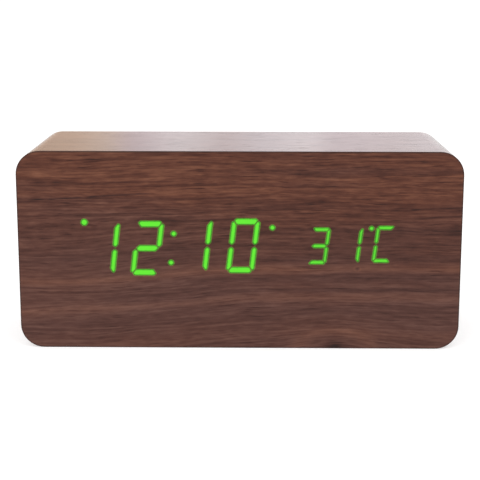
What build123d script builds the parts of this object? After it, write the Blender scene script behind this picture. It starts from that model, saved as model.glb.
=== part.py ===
from build123d import *
from dataclasses import dataclass
import math
import os

# A desk clock: a wood-grain box whose lit digits show through its face.
# Sizes are in millimetres. The origin is the middle of the underside,
# x runs to the right seen from the front, y towards the back, z up.

# Case, from the face veneer back to the recessed rear cover
case_width = 150.0
case_height = 68.5
case_depth = 45.0
corner_radius = 8.0
face_veneer = 0.6
wrap_veneer = 0.4
front_board_thickness = 4.0
frame_wall = 7.6
frame_inner_radius = 2.0
corner_block = 9.0
rebate_width = 2.6
relief_gap = 0.3
face_edge_round = 0.25

# Rear cover
cover_recess = 1.5
cover_thickness = 2.4
cover_gap = 0.3
cover_corner_radius = 3.0
cover_screw_radius = 1.3
cover_screw_reach = 8.0
cover_head_radius = 2.6
cover_head_height = 1.3
head_gap = 0.25
thread_gap = 0.02
cross_span, cross_line, cross_depth = 1.2, 0.24, 0.55


@dataclass
class DigitStyle:
    """Outer size and bar sizes of one seven-bar cell."""

    height: float
    width: float
    level_bar: float
    upright_bar: float
    corner_cut: float
    bar_round: float
    joint_gap: float
    middle_gap: float
    lean: float


# Sizes of the time's cells and of the smaller cells of the temperature
time_height, time_width = 18.9, 9.5
time_level_bar, time_upright_bar = 2.05, 1.65
time_corner_cut, time_bar_round = 1.3, 0.34
time_joint_gap, time_middle_gap = 0.3, 0.6
time_lean = 0.12
degree_height, degree_width = 12.7, 6.2
degree_level_bar, degree_upright_bar = 1.3, 1.08
degree_corner_cut, degree_bar_round = 0.65, 0.22
degree_joint_gap, degree_middle_gap = 0.24, 0.45
degree_lean = 0.125
time_bars = (time_level_bar, time_upright_bar)
time_ends = (time_corner_cut, time_bar_round, time_joint_gap, time_middle_gap)
time_style = DigitStyle(time_height, time_width, *time_bars, *time_ends, time_lean)
degree_bars = (degree_level_bar, degree_upright_bar)
degree_ends = (degree_corner_cut, degree_bar_round, degree_joint_gap, degree_middle_gap)
temperature_style = DigitStyle(degree_height, degree_width, *degree_bars, *degree_ends, degree_lean)


# The most that a bar's corners are rounded by, as a share of its corner cut
bar_round_share = 0.34

# Places in the display, from the middle of the face
hour_tens_x, hour_units_x, hours_rise = -46.0, -31.15, 1.0
minute_tens_x, minute_units_x, minutes_rise = -14.65, 1.25, 1.95
degree_tens_x, degree_tens_rise = 26.95, 2.0
degree_units_x, degree_units_rise = 37.95, 2.3
unit_letter_x, unit_letter_rise = 48.65, 2.65
colon_x, colon_rise, colon_spacing, colon_lean, colon_radius = -22.65, 1.05, 10.05, 0.1, 0.93
alarm_dot_x, alarm_dot_rise, alarm_dot_radius = -52.3, 9.95, 1.15
sound_dot_x, sound_dot_rise, sound_dot_radius = 11.15, 8.3, 0.93
degree_dot_x, degree_dot_rise, degree_dot_radius = 44.5, 8.15, 0.83
BARS_OF = {"0": "abcdef", "1": "bc", "2": "abged", "3": "abgcd", "8": "abcdefg", "C": "adef"}

# Reflector block, its lenses and its diodes
reflector_depth = 8.0
reflector_margin = 2.2
lens_clearance = 0.05
lens_seat_depth = 1.5
gasket_width = 1.2
diode_length, diode_width, diode_height = 1.0, 0.8, 0.7

# Main circuit board
board_side_margin, board_spacer_gap, board_thickness = 1.7, 1.1, 1.6
board_screw_side_inset, board_screw_top_inset = 4.5, 3.5
spacer_radius = 2.6
board_screw_radius = 1.1
board_screw_bite = 3.0
board_head_radius, board_head_height = 2.1, 1.4

# Parts on the back of the main board, placed from the middle of the case
chip_x, chip_z, chip_side, chip_height, chip_lift = -6.0, 2.0, 12.0, 1.5, 0.15
pins_per_side, pin_pitch, pin_width, pin_length, pin_thickness = 11, 0.9, 0.35, 1.0, 0.2
crystal_x, crystal_z, crystal_radius, crystal_length = -6.0, -9.5, 1.0, 6.0
buzzer_radius, buzzer_height, buzzer_from_board_end = 6.0, 8.5, 9.0
buzzer_hole, buzzer_hole_depth, buzzer_rim_round = 1.2, 4.0, 0.5
sound_sensor_x, sound_sensor_z, sound_sensor_radius, sound_sensor_height = 44.0, 12.0, 3.0, 2.7
sound_mouth_radius, sound_mouth_depth = 2.1, 0.3
coin_x, coin_z, coin_radius, coin_thickness = -36.0, 0.0, 10.0, 3.2
coin_gap, holder_wall, holder_floor = 0.2, 1.3, 0.8
holder_notch_width, holder_notch_depth = 12.0, 3.0
clip_width, clip_thickness = 5.0, 0.35
resistor_x, resistor_z, resistor_pitch, resistor_count = 8.0, 18.0, 3.0, 9
resistor_length, resistor_width, resistor_height = 2.0, 1.25, 0.5
thermistor_beside_vents, thermistor_rise, thermistor_radius, thermistor_back = 8.5, 3.0, 1.3, 3.5
thermistor_leg_radius, thermistor_leg_spacing = 0.25, 1.2

# Battery bay, moulded into the rear cover, and the four cells in it
cell_radius, cell_length, nub_radius, nub_length = 5.25, 44.5, 1.9, 1.0
cell_end_round = 0.5
cell_pitch = 10.8
cell_count = 4
cell_side_gap = 0.25
cell_back_gap = 0.4
contact_thickness = 0.4
spring_room = 5.7
bay_gap = 3.0
bay_wall = 1.5
divider_height, divider_width = 2.6, 1.4
contact_height = 7.5
contact_margin = 1.2
lug_width, lug_reach = 2.6, 1.6
lug_gap = 0.1
spring_wire = 0.35
spring_radius = 3.3
spring_turns = 4
spring_seat_gap = 0.05

# Battery door
door_thickness = 1.8
door_shelf = 1.2
door_gap = 0.2
door_rest_gap = 0.15
tongue_x, tongue_width, tongue_length = 15.0, 6.0, 1.5
tongue_gap = 0.3
tab_width, tab_length, tab_slot = 12.0, 9.0, 0.8
latch_proud, latch_width, latch_thickness = 0.12, 8.0, 0.8
finger_notch_radius, finger_notch_depth = 5.0, 0.9
grip_count, grip_pitch, grip_width, grip_height = 4, 1.5, 0.7, 0.35
grip_margin = 1.0
door_rib_x, door_rib_width, door_rib_height, door_rib_span = 17.5, 1.0, 0.25, 36.0

# Keys, their switches and the board that carries them
key_names = ("set", "up", "down")
key_pitch, key_z = 12.0, 5.5
key_radius, key_flange_radius, key_flange = 3.0, 3.8, 1.0
key_proud, key_gap, key_rest_gap = 0.7, 0.15, 0.1
key_travel, key_end_round = 0.5, 0.4
mark_radius, mark_line, mark_depth = 1.5, 0.6, 0.2
switch_side, switch_height, switch_corner = 6.0, 3.5, 0.4
plunger_radius, plunger_height, plunger_hidden, plunger_gap = 1.7, 1.5, 1.2, 0.1
key_board_thickness, key_board_height, key_board_margin, key_board_gap = 1.2, 11.0, 6.0, 4.0
boss_radius, key_screw_radius, key_screw_bite = 2.0, 0.9, 4.0
key_head_radius, key_head_height = 1.7, 1.1

# Power socket and vents
socket_from_side, socket_from_bottom = 20.0, 10.25
socket_side, socket_length, socket_corner = 9.0, 11.0, 0.5
socket_bore_radius, socket_bore_depth = 2.9, 9.0
socket_pin_radius, socket_pin_setback, socket_pin_round = 0.85, 1.0, 0.4
socket_wall, socket_gap = 1.2, 0.1
socket_leaf_x, socket_leaf_radius, socket_leg_length = 2.3, 0.5, 2.0
vent_from_socket, vent_from_bottom = 20.0, 13.25
vent_count, vent_pitch, vent_width, vent_length = 5, 3.0, 1.4, 11.0

# Wiring inside the case
wire_radius = 0.55
wire_bend = 3.0
wire_spacing = 2.4
header_width, header_height, header_depth = 6.0, 4.5, 5.0
battery_header_from_lug, battery_header_z = 6.4, 13.0
power_header_from_socket, power_header_above_socket = 1.1, 10.0
key_header_from_key, key_header_below_key = 8.0, 6.0
ribbon_thickness, ribbon_width, ribbon_bend, ribbon_margin, ribbon_slant = 0.9, 5.2, 3.0, 1.5, 6.6

# Depths that follow from the sizes above
front_y = -case_depth / 2
rear_y = case_depth / 2
middle_z = case_height / 2
board_face_y = front_y + face_veneer
board_back_y = board_face_y + front_board_thickness
cover_outer_y = rear_y - cover_recess
cover_inner_y = cover_outer_y - cover_thickness
circuit_front_y = board_face_y + reflector_depth
circuit_back_y = circuit_front_y + board_thickness
frame_width = case_width - 2 * wrap_veneer
frame_height = case_height - 2 * wrap_veneer
frame_radius = corner_radius - wrap_veneer
inner_width = frame_width - 2 * frame_wall
inner_height = frame_height - 2 * frame_wall
screw_x = inner_width / 2 - corner_block / 2
screw_z = inner_height / 2 - corner_block / 2
cover_width = inner_width + 2 * rebate_width - 2 * cover_gap
cover_height = inner_height + 2 * rebate_width - 2 * cover_gap

# Places on the rear cover that follow from the inside of the case
socket_x = inner_width / 2 - socket_from_side
socket_z = socket_from_bottom - inner_height / 2
vent_x = socket_x - vent_from_socket
vent_z = vent_from_bottom - inner_height / 2
buzzer_x = vent_x
thermistor_x, thermistor_z = vent_x + thermistor_beside_vents, vent_z + thermistor_rise
key_x = inner_width / 2 - key_board_gap - key_pitch - key_board_margin

# Battery bay and door sizes that follow
door_inner_y = cover_outer_y - door_thickness
cell_y = door_inner_y - cell_back_gap - cell_radius
bay_floor_y = cell_y - cell_radius - cell_side_gap
bay_width = cell_length + 2 * contact_thickness + spring_room
bay_height = (cell_count - 1) * cell_pitch + 2 * (cell_radius + cell_side_gap)
bay_left = corner_block + bay_gap + bay_wall - inner_width / 2
bay_right = bay_left + bay_width
bay_x = (bay_left + bay_right) / 2
lug_end_x = bay_right + bay_wall + lug_reach
seat_width = bay_width + 2 * door_shelf
seat_height = bay_height + 2 * door_shelf
door_width = seat_width - 2 * door_gap
door_height = seat_height - 2 * door_gap
nose_radius = door_thickness / 2
hinge_y = cover_outer_y - nose_radius
hinge_z = middle_z - door_height / 2 + nose_radius
door_top_z = middle_z + door_height / 2
seat_top_z = middle_z + seat_height / 2

# Key stack sizes that follow
key_outer_y = cover_outer_y + key_proud
flange_outer_y = cover_inner_y - key_rest_gap
plunger_top_y = flange_outer_y - key_flange
key_board_back_y = plunger_top_y - plunger_height - switch_height
key_board_front_y = key_board_back_y - key_board_thickness
key_centre_z = middle_z + key_z

# The socket's mouth is flush with the cover
socket_front_y = cover_outer_y - socket_length

# Places of the headers, beside what each one serves
battery_header_x = lug_end_x + battery_header_from_lug
power_header_x, power_header_z = socket_x + power_header_from_socket, socket_z + power_header_above_socket
key_header_x, key_header_z = key_x - key_header_from_key, key_z - key_header_below_key


def facing(y):
    """Sketch plane at depth y, with x to the right and z up."""
    return Plane(origin=(0, y, 0), x_dir=(1, 0, 0), z_dir=(0, -1, 0))


def prism(outline, near, far):
    """Solid with an outline in x and z, from depth near back to depth far."""
    return extrude(facing(far) * outline, amount=far - near, dir=(0, -1, 0))


def rod(x, z, radius, near, far):
    """Round bar along y."""
    return prism(Pos(x, z) * Circle(radius), near, far)


def brick(x0, x1, y0, y1, z0, z1):
    """Box between two corners."""
    size = Box(x1 - x0, y1 - y0, z1 - z0)
    return Pos((x0 + x1) / 2, (y0 + y1) / 2, (z0 + z1) / 2) * size


def case_outline(width, height, radius):
    return Pos(0, middle_z) * RectangleRounded(width, height, radius)


def corner_places(x, z):
    """The four places at plus and minus x and z about the middle of the case."""
    return [(sx * x, middle_z + sz * z) for sx in (-1, 1) for sz in (-1, 1)]


def save(name, shape):
    """Writes one node. A list becomes one node of separate solids."""
    if isinstance(shape, (list, tuple)):
        shape = Compound(children=[solid for item in shape for solid in item.solids()])
    export_step(shape, os.path.join("parts", name + ".step"))


def pan_screw(x, z, seat_y, direction, shank, shank_length, head, head_height):
    """Cross-head screw along y. Its head stands on seat_y and its shank runs the other way."""
    head_end = seat_y + direction * head_height
    tip = seat_y - direction * shank_length
    top = rod(x, z, head, min(seat_y, head_end), max(seat_y, head_end))
    body = top + rod(x, z, shank, min(seat_y, tip), max(seat_y, tip))
    span, line = cross_span * head, cross_line * head
    cross = Rectangle(span, line) + Rectangle(line, span)
    floor = head_end - direction * cross_depth * head_height
    return body - prism(Pos(x, z) * cross, min(floor, head_end), max(floor, head_end))


# Seven-bar cells


def mitre(style):
    """Cut between the top bar and the upper right bar: its start, its run, and the side of the top bar."""
    outer = Vector(
        (style.width - style.corner_cut) / 2, (style.height - style.corner_cut) / 2
    )
    inner = Vector(
        style.width / 2 - style.upright_bar, style.height / 2 - style.level_bar
    )
    along = (inner - outer).normalized()
    return outer, along, Vector(along.Y, -along.X)


def top_bar(style):
    start, along, side = mitre(style)
    half_gap = style.joint_gap / 2
    near = start + side * half_gap
    far = near + along * ((near.Y - style.height / 2 + style.level_bar) / -along.Y)
    end = style.width / 2 - style.corner_cut - half_gap
    right = [(end, style.height / 2), (near.X, near.Y), (far.X, far.Y)]
    return right + [(-x, z) for x, z in reversed(right)]


def upper_right_bar(style):
    start, along, side = mitre(style)
    half_gap = style.joint_gap / 2
    near = start - side * half_gap
    far = near + along * ((near.X - style.width / 2 + style.upright_bar) / -along.X)
    edge, half, tip = style.width / 2, style.upright_bar / 2, style.middle_gap / 2
    return [
        (near.X, near.Y),
        (edge, style.height / 2 - style.corner_cut - half_gap),
        (edge, tip + half),
        (edge - half, tip),
        (edge - 2 * half, tip + half),
        (far.X, far.Y),
    ]


def middle_bar(style):
    half = style.level_bar / 2
    tip = (style.width - style.upright_bar + style.middle_gap) / 2 - math.sqrt(2) * style.joint_gap
    right = [(tip - half, half), (tip, 0), (tip - half, -half)]
    return right + [(-x, z) for x, z in reversed(right)]


def bar_points(style, bar):
    """Outline of one bar, upright, about the cell's centre. Bars a to f run clockwise from the top."""
    shape = {"a": top_bar, "d": top_bar, "g": middle_bar}.get(bar, upper_right_bar)
    flip_x = -1 if bar in "ef" else 1
    flip_z = -1 if bar in "cde" else 1
    return [(flip_x * x, flip_z * z) for x, z in shape(style)]


def bar_face(style, bar, x, rise):
    """Outline of one bar, leaning, with rounded corners, at its place on the face."""
    points = [(x + px + style.lean * pz, middle_z + rise + pz) for px, pz in bar_points(style, bar)]
    outline = Polygon(*points, align=None)
    return fillet(outline.vertices(), min(style.bar_round, bar_round_share * style.corner_cut))


def cell_faces(style, character, x, rise):
    return [bar_face(style, bar, x, rise) for bar in BARS_OF[character]]


def dot_face(x, rise, radius):
    return Pos(x, middle_z + rise) * Circle(radius)


def colon_faces():
    half = colon_spacing / 2
    return [dot_face(colon_x + s * colon_lean * half, colon_rise + s * half, colon_radius) for s in (-1, 1)]


# Every lit group, by node name
lit_groups = {
    "hour_bars": cell_faces(time_style, "1", hour_tens_x, hours_rise)
    + cell_faces(time_style, "2", hour_units_x, hours_rise),
    "minute_bars": cell_faces(time_style, "1", minute_tens_x, minutes_rise)
    + cell_faces(time_style, "0", minute_units_x, minutes_rise),
    "colon_dots": colon_faces(),
    "temperature_bars": cell_faces(temperature_style, "3", degree_tens_x, degree_tens_rise)
    + cell_faces(temperature_style, "1", degree_units_x, degree_units_rise),
    "unit_bars": cell_faces(temperature_style, "C", unit_letter_x, unit_letter_rise),
    "degree_dot": [dot_face(degree_dot_x, degree_dot_rise, degree_dot_radius)],
    "indicator_dots": [
        dot_face(alarm_dot_x, alarm_dot_rise, alarm_dot_radius),
        dot_face(sound_dot_x, sound_dot_rise, sound_dot_radius),
    ],
}
full_cells = [
    (time_style, hour_tens_x, hours_rise),
    (time_style, hour_units_x, hours_rise),
    (time_style, minute_tens_x, minutes_rise),
    (time_style, minute_units_x, minutes_rise),
    (temperature_style, degree_tens_x, degree_tens_rise),
    (temperature_style, degree_units_x, degree_units_rise),
    (temperature_style, unit_letter_x, unit_letter_rise),
]
dot_groups = ("colon_dots", "degree_dot", "indicator_dots")
all_wells = [face for cell in full_cells for face in cell_faces(cell[0], "8", cell[1], cell[2])]
all_wells += [face for group in dot_groups for face in lit_groups[group]]


def widened(face):
    return offset(face, amount=lens_clearance, kind=Kind.INTERSECTION)


well_boxes = [face.bounding_box() for face in all_wells]
reflector_x0 = min(box.min.X for box in well_boxes) - reflector_margin
reflector_x1 = max(box.max.X for box in well_boxes) + reflector_margin
reflector_z0 = min(box.min.Y for box in well_boxes) - reflector_margin
reflector_z1 = max(box.max.Y for box in well_boxes) + reflector_margin


board_x = (reflector_x0 + reflector_x1) / 2
board_width = reflector_x1 - reflector_x0 + 2 * board_side_margin
board_screw_x = board_width / 2 - board_screw_side_inset
board_screw_z = reflector_z1 + gasket_width + board_spacer_gap + spacer_radius - middle_z
board_height = 2 * (board_screw_z + board_screw_top_inset)
buzzer_z = buzzer_from_board_end - board_height / 2


def board_outline(margin=0.0):
    size = Rectangle(board_width + 2 * margin, board_height + 2 * margin)
    return Pos(board_x, middle_z) * size


def board_screw_places():
    return [(board_x + x, z) for x, z in corner_places(board_screw_x, board_screw_z)]


def reflector_outline(margin=0.0):
    width = reflector_x1 - reflector_x0 + 2 * margin
    height = reflector_z1 - reflector_z0 + 2 * margin
    centre = Pos((reflector_x0 + reflector_x1) / 2, (reflector_z0 + reflector_z1) / 2)
    return centre * Rectangle(width, height)


def lit_lenses():
    """Clear bars that end flush with the face and stand in the reflector's wells."""
    back = board_face_y + lens_seat_depth
    for name, faces in lit_groups.items():
        save(name, [prism(face, front_y, back) for face in faces])


def front_veneer():
    sheet = prism(case_outline(case_width, case_height, corner_radius), front_y, board_face_y)
    rim = sheet.faces().sort_by(Axis.Y)[0].edges()
    sheet = fillet(rim, face_edge_round)
    slots = [prism(widened(face), front_y, board_face_y) for faces in lit_groups.values() for face in faces]
    save("front_veneer", sheet - slots)


def front_board():
    panel = prism(case_outline(frame_width, frame_height, frame_radius), board_face_y, board_back_y)
    window = prism(reflector_outline(gasket_width), board_face_y, board_back_y)
    pilots = [
        rod(x, z, board_screw_radius + thread_gap, board_back_y - board_screw_bite, board_back_y)
        for x, z in board_screw_places()
    ]
    save("front_board", panel - window - pilots)


def segment_reflector():
    block = prism(reflector_outline(), board_face_y, circuit_front_y)
    save("segment_reflector", block - [prism(widened(f), board_face_y, circuit_front_y) for f in all_wells])


def light_gasket():
    ring = reflector_outline(gasket_width) - reflector_outline()
    save("light_gasket", prism(ring, board_face_y, board_back_y))


def segment_diodes():
    chips = []
    for face in all_wells:
        middle = face.center()
        chip = Pos(middle.X, middle.Y) * Rectangle(diode_width, diode_length)
        chips.append(prism(chip, circuit_front_y - diode_height, circuit_front_y))
    save("segment_diodes", chips)


# Case


def routed_opening():
    """Opening of the frame, with a square block left in each corner for a screw."""
    opening = case_outline(inner_width, inner_height, frame_inner_radius)
    for x, z in corner_places(screw_x, screw_z):
        opening -= Pos(x, z) * Rectangle(corner_block, corner_block)
    return opening


def rebate_outline(gap=0.0):
    width = inner_width + 2 * rebate_width - 2 * gap
    height = inner_height + 2 * rebate_width - 2 * gap
    return case_outline(width, height, cover_corner_radius)


def frame_reliefs(end):
    """Room in the frame for what stands in it, where a small case would leave too little."""
    board_end = circuit_back_y + board_head_height + relief_gap
    bay_start = bay_floor_y - bay_wall - relief_gap
    door_and_tongues = Pos(bay_x, middle_z) * Rectangle(
        seat_width + 2 * relief_gap, seat_height + 2 * (tongue_length + tongue_gap + relief_gap)
    )
    return [
        prism(reflector_outline(relief_gap), board_back_y, circuit_front_y),
        prism(board_outline(relief_gap), board_back_y, board_end),
        prism(door_and_tongues, bay_start, end),
    ]


def case_frame():
    end = rear_y - wrap_veneer
    body = prism(case_outline(frame_width, frame_height, frame_radius), board_back_y, end)
    body -= prism(routed_opening(), board_back_y, cover_inner_y)
    body -= prism(rebate_outline(), cover_inner_y, end)
    body -= frame_reliefs(end)
    pilot = cover_screw_radius + thread_gap
    depth = cover_inner_y - cover_screw_reach
    body -= [rod(x, z, pilot, depth, cover_inner_y) for x, z in corner_places(screw_x, screw_z)]
    save("case_frame", body)


def wrap_sheet():
    """Wood-grain foil round the four sides, turned over the rear edge."""
    outer = prism(case_outline(case_width, case_height, corner_radius), board_face_y, rear_y)
    core = prism(case_outline(frame_width, frame_height, frame_radius), board_face_y, rear_y - wrap_veneer)
    mouth = prism(rebate_outline(), rear_y - wrap_veneer, rear_y)
    save("wrap_veneer", outer - core - mouth)


# Main board and the parts on it


def main_board():
    board = prism(board_outline(), circuit_front_y, circuit_back_y)
    hole = board_screw_radius + thread_gap
    holes = [rod(x, z, hole, circuit_front_y, circuit_back_y) for x, z in board_screw_places()]
    save("main_board", board - holes)


def board_fixings():
    spacers, screws = [], []
    bite = board_screw_bite - thread_gap
    shank = circuit_back_y - board_back_y + bite
    for x, z in board_screw_places():
        tube = rod(x, z, spacer_radius, board_back_y, circuit_front_y)
        spacers.append(tube - rod(x, z, board_screw_radius + thread_gap, board_back_y, circuit_front_y))
        sizes = (board_screw_radius, shank, board_head_radius, board_head_height)
        screws.append(pan_screw(x, z, circuit_back_y, 1, *sizes))
    save("board_spacers", spacers)
    save("board_screws", screws)


def on_board(sketch, height, lift=0.0):
    """Solid that stands on the back of the main board."""
    return prism(sketch, circuit_back_y + lift, circuit_back_y + lift + height)


def controller_chip():
    """Square chip with a row of pins on each side, which stand on the board."""
    centre = Pos(chip_x, middle_z + chip_z)
    body = on_board(centre * Rectangle(chip_side, chip_side), chip_height, chip_lift)
    pins = []
    middle = (pins_per_side - 1) / 2
    reach = (chip_side + pin_length) / 2
    for i in range(pins_per_side):
        along = (i - middle) * pin_pitch
        for turn in range(4):
            pad = Rot(0, 0, 90 * turn) * Pos(along, reach) * Rectangle(pin_width, pin_length)
            pins.append(on_board(centre * pad, pin_thickness + chip_lift))
    save("controller_chip", body + pins)


def clock_crystal():
    can = Cylinder(crystal_radius, crystal_length, rotation=(0, 90, 0))
    save("clock_crystal", Pos(crystal_x, circuit_back_y + crystal_radius, middle_z + crystal_z) * can)


def buzzer():
    centre = Pos(buzzer_x, middle_z + buzzer_z)
    can = on_board(centre * Circle(buzzer_radius), buzzer_height)
    rim = can.faces().sort_by(Axis.Y)[-1].edges()
    can = fillet(rim, buzzer_rim_round)
    floor = buzzer_height - buzzer_hole_depth
    save("buzzer", can - on_board(centre * Circle(buzzer_hole), buzzer_hole_depth, floor))


def sound_sensor():
    centre = Pos(sound_sensor_x, middle_z + sound_sensor_z)
    can = on_board(centre * Circle(sound_sensor_radius), sound_sensor_height)
    floor = sound_sensor_height - sound_mouth_depth
    save("sound_sensor", can - on_board(centre * Circle(sound_mouth_radius), sound_mouth_depth, floor))


def backup_cell():
    """Coin cell in an open-sided holder, under a sprung clip."""
    centre = Pos(coin_x, middle_z + coin_z)
    inner = coin_radius + coin_gap
    outer = inner + holder_wall
    wall_height = holder_floor + coin_thickness
    cup = on_board(centre * Circle(outer), wall_height)
    cup -= on_board(centre * Circle(inner), coin_thickness, holder_floor)
    notch = Pos(0, outer - holder_notch_depth / 2) * Rectangle(holder_notch_width, holder_notch_depth)
    save("backup_cell_holder", cup - on_board(centre * notch, coin_thickness, holder_floor))
    save("backup_cell", on_board(centre * Circle(coin_radius), coin_thickness, holder_floor))
    span = Rectangle(2 * outer + 2 * clip_thickness, clip_width)
    strap = on_board(centre * span, clip_thickness, wall_height)
    for side in (-1, 1):
        leg = Pos(side * (outer + clip_thickness / 2), 0) * Rectangle(clip_thickness, clip_width)
        strap += on_board(centre * leg, wall_height)
    save("backup_cell_clip", strap)


def chip_resistors():
    row = []
    for i in range(resistor_count):
        place = Pos(resistor_x + i * resistor_pitch, middle_z + resistor_z)
        row.append(on_board(place * Rectangle(resistor_width, resistor_length), resistor_height))
    save("chip_resistors", row)


def temperature_sensor():
    """Bead on two long legs that bring it close behind the vents."""
    x, z = thermistor_x, middle_z + thermistor_z
    bead_y = cover_inner_y - thermistor_back
    bead = Pos(x, bead_y, z) * Sphere(thermistor_radius)
    half = thermistor_leg_spacing / 2
    legs = [rod(x + s * half, z, thermistor_leg_radius, circuit_back_y, bead_y) for s in (-1, 1)]
    save("temperature_sensor", bead + legs)


# Rear cover with the battery bay


def cell_z(index):
    return middle_z + (index - (cell_count - 1) / 2) * cell_pitch


def bay_sketch(width, height):
    return Pos(bay_x, middle_z) * Rectangle(width, height)


def key_place(index):
    """The keys run from the left to the right of someone who looks at the back."""
    return key_x + (1 - index) * key_pitch


def boss_places():
    half = key_pitch / 2
    return [(key_x - half, key_centre_z), (key_x + half, key_centre_z)]


def tongue_slot(x):
    """Pocket in which a door tongue swings, behind a lip of the cover."""
    reach = nose_radius + tongue_length + tongue_gap
    half = tongue_width / 2 + tongue_gap
    top = middle_z - bay_height / 2 + tongue_gap
    return brick(x - half, x + half, hinge_y - reach, hinge_y + tongue_gap / 2, hinge_z - reach, top)


def bay_outer():
    outline = bay_sketch(bay_width + 2 * bay_wall, bay_height + 2 * bay_wall)
    return prism(outline, bay_floor_y - bay_wall, cover_inner_y)


def lug_slot(z):
    """Slot in the end wall of the bay through which a contact's lug passes."""
    half = lug_width / 2 + lug_gap
    y0 = cell_y - contact_height / 2 - lug_gap
    return brick(bay_right, bay_right + bay_wall, y0, y0 + lug_width + 2 * lug_gap, z - half, z + half)


def rear_cover():
    cover = prism(rebate_outline(cover_gap), cover_inner_y, cover_outer_y)
    cover += bay_outer()
    pocket_outline = Pos(socket_x, middle_z + socket_z) * Rectangle(
        socket_side + 2 * socket_gap + 2 * socket_wall, socket_side + 2 * socket_gap + 2 * socket_wall
    )
    cover += prism(pocket_outline, socket_front_y + socket_wall, cover_inner_y)
    cover += [rod(x, z, boss_radius, key_board_back_y, cover_inner_y) for x, z in boss_places()]
    cuts = [
        prism(bay_sketch(bay_width, bay_height), bay_floor_y, cover_outer_y),
        prism(bay_sketch(seat_width, seat_height), door_inner_y - door_rest_gap, cover_outer_y),
        rod(bay_x, seat_top_z, finger_notch_radius, cover_outer_y - finger_notch_depth, cover_outer_y),
    ]
    socket_hole = Pos(socket_x, middle_z + socket_z) * Rectangle(
        socket_side + 2 * socket_gap, socket_side + 2 * socket_gap
    )
    cuts.append(prism(socket_hole, socket_front_y, cover_outer_y))
    cuts += [tongue_slot(bay_x + s * tongue_x) for s in (-1, 1)]
    cuts += [lug_slot(cell_z(0)), lug_slot(cell_z(cell_count - 1))]
    for x, z in corner_places(screw_x, screw_z):
        cuts.append(rod(x, z, cover_screw_radius + head_gap, cover_inner_y, cover_outer_y))
        cuts.append(rod(x, z, cover_head_radius + head_gap, cover_outer_y - cover_head_height, cover_outer_y))
    for i in range(len(key_names)):
        cuts.append(rod(key_place(i), key_centre_z, key_radius + key_gap, cover_inner_y, cover_outer_y))
    pilot = key_screw_radius + thread_gap
    for x, z in boss_places():
        cuts.append(rod(x, z, pilot, key_board_back_y, key_board_back_y + key_screw_bite))
    middle = (vent_count - 1) / 2
    slot = SlotOverall(vent_length, vent_width, rotation=90)
    for i in range(vent_count):
        place = Pos(vent_x + (i - middle) * vent_pitch, middle_z + vent_z)
        cuts.append(prism(place * slot, cover_inner_y, cover_outer_y))
    cover -= cuts
    for i in range(cell_count - 1):
        z = (cell_z(i) + cell_z(i + 1)) / 2
        half_span = (bay_width - 2 * spring_room) / 2
        cover += brick(
            bay_x - half_span, bay_x + half_span,
            bay_floor_y, bay_floor_y + divider_height,
            z - divider_width / 2, z + divider_width / 2,
        )
    save("rear_cover", cover)


def cover_screws():
    seat = cover_outer_y - cover_head_height
    length = seat - cover_inner_y + cover_screw_reach - thread_gap
    sizes = (cover_screw_radius, length, cover_head_radius, cover_head_height)
    save("cover_screws", [pan_screw(x, z, seat, 1, *sizes) for x, z in corner_places(screw_x, screw_z)])


# Battery door, cells and contacts


def battery_door():
    """Plate with a round lower edge about the hinge line, two tongues and a sprung tab."""
    top = door_top_z
    half_width = door_width / 2
    plate = brick(bay_x - half_width, bay_x + half_width, door_inner_y, cover_outer_y, hinge_z, top)
    nose = Cylinder(nose_radius, door_width, rotation=(0, 90, 0))
    plate += Pos(bay_x, hinge_y, hinge_z) * nose
    for side in (-1, 1):
        x = bay_x + side * tongue_x
        low = hinge_z - nose_radius - tongue_length
        plate += brick(x - tongue_width / 2, x + tongue_width / 2, door_inner_y, hinge_y, low, hinge_z)
        x = bay_x + side * (tab_width + tab_slot) / 2
        half = tab_slot / 2
        plate -= brick(x - half, x + half, door_inner_y, cover_outer_y, top - tab_length, top)
    for i in range(grip_count):
        z = top - grip_margin - grip_width / 2 - i * grip_pitch
        half_grip = tab_width / 2 - grip_margin
        plate += brick(
            bay_x - half_grip, bay_x + half_grip,
            cover_outer_y, cover_outer_y + grip_height,
            z - grip_width / 2, z + grip_width / 2,
        )
    for side in (-1, 1):
        x = bay_x + side * door_rib_x
        plate += brick(
            x - door_rib_width / 2, x + door_rib_width / 2,
            door_inner_y - door_rib_height, door_inner_y,
            middle_z - door_rib_span / 2, middle_z + door_rib_span / 2,
        )
    half_latch = latch_width / 2
    latch_y = door_inner_y + latch_thickness
    plate += brick(bay_x - half_latch, bay_x + half_latch, door_inner_y, latch_y, top, top + latch_proud)
    save("battery_door", plate)


def nub_side(index):
    """The cells lie head to tail, the lowest with its nub to the right."""
    return 1 if index % 2 == 0 else -1


def battery_cells():
    for i in range(cell_count):
        side = nub_side(i)
        face_x = bay_x + side * (bay_width / 2 - contact_thickness)
        body_length = cell_length - nub_length
        body_x = face_x - side * (nub_length + body_length / 2)
        place = Pos(body_x, cell_y, cell_z(i))
        body = place * Cylinder(cell_radius, body_length, rotation=(0, 90, 0))
        body = fillet(body.edges().filter_by(GeomType.CIRCLE), cell_end_round)
        nub = Cylinder(nub_radius, nub_length, rotation=(0, 90, 0))
        body += Pos(face_x - side * nub_length / 2, cell_y, cell_z(i)) * nub
        save(f"battery_cell_{i + 1}", body)


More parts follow.
